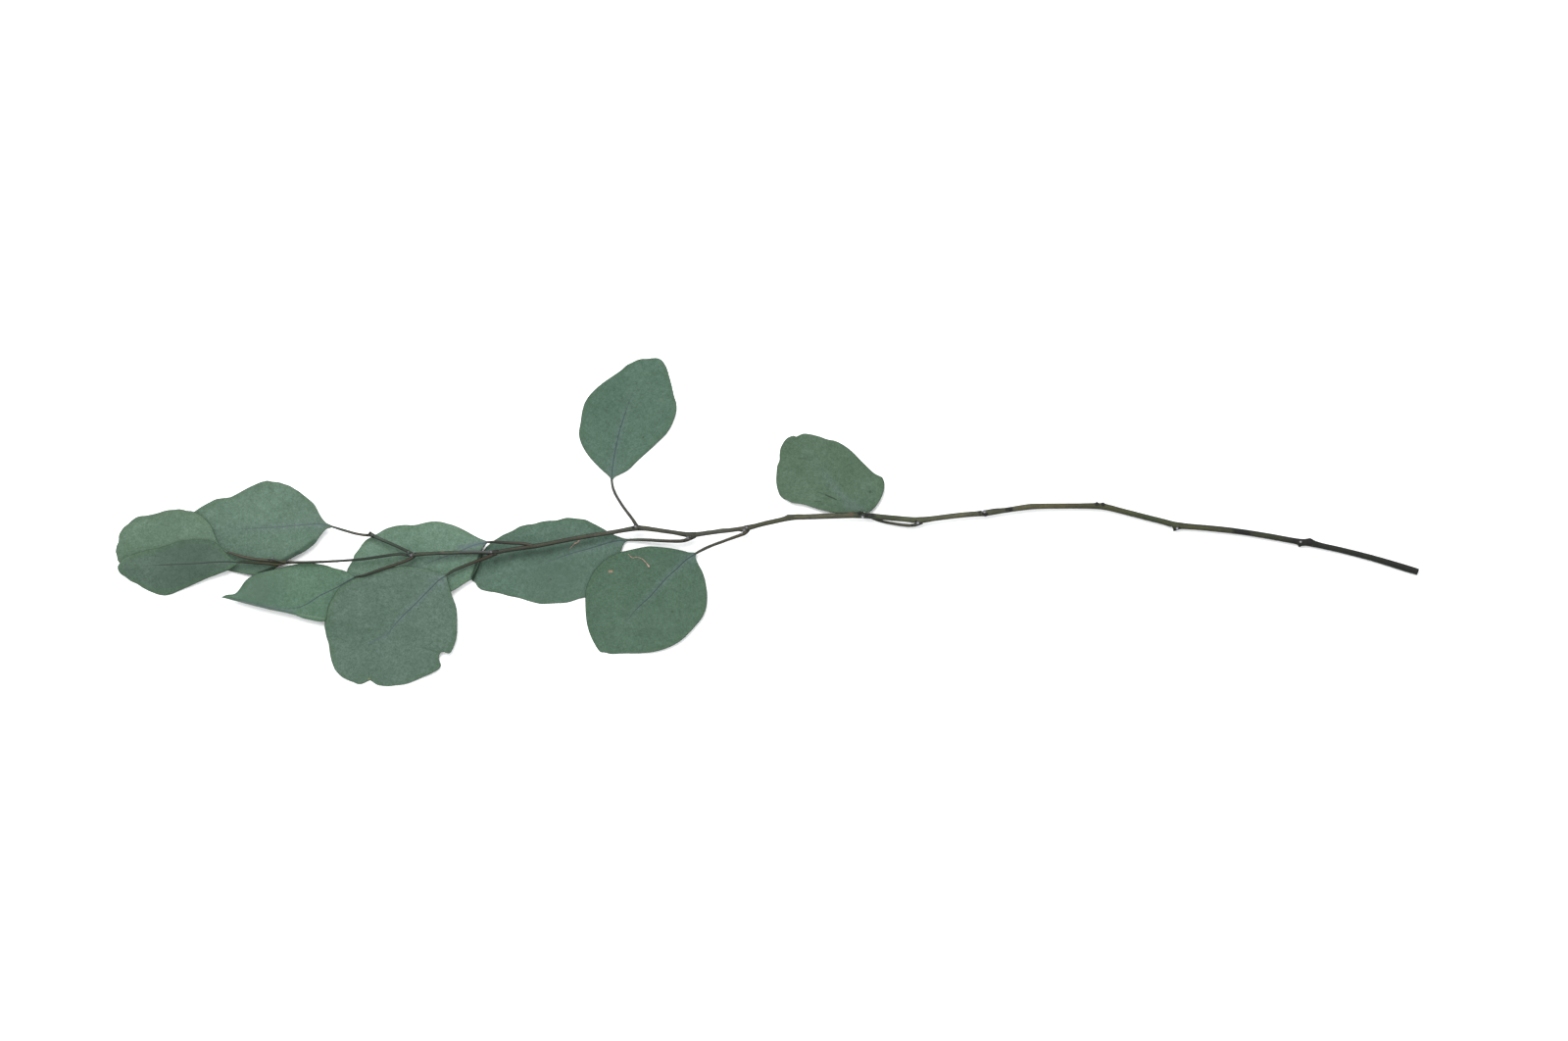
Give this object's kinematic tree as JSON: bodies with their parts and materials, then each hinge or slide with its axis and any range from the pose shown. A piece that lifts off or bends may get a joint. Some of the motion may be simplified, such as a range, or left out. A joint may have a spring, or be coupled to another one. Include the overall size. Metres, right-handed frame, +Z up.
{
  "type": "eucalyptus branch",
  "caption": "Cut eucalyptus branch lying flat, with a slender woody stem and round leathery grey-green leaves clustered at its growing end.",
  "frame": {"origin": "on the table under the middle of the branch's bounding box", "axes": "+X towards the stem's cut end, +Z up from the table, +Y towards the upright leaf's tip"},
  "size_m": [0.6648, 0.1668, 0.01],
  "materials": {
    "stem_bark": "matte",
    "twig_bark": "matte",
    "leaf": "matte"
  },
  "bodies": {
    "root": {"main_stem": "stem_bark", "upper_twig": "twig_bark", "terminal_twig": "twig_bark", "leaf_upright": "leaf", "leaf_beside_stem": "leaf", "leaf_lower_right": "leaf", "leaf_middle": "leaf", "leaf_inner": "leaf", "leaf_lower_large": "leaf", "leaf_folded": "leaf", "leaf_upper_left": "leaf", "leaf_end_upper": "leaf", "leaf_end_lower": "leaf"}
  },
  "joints": []
}
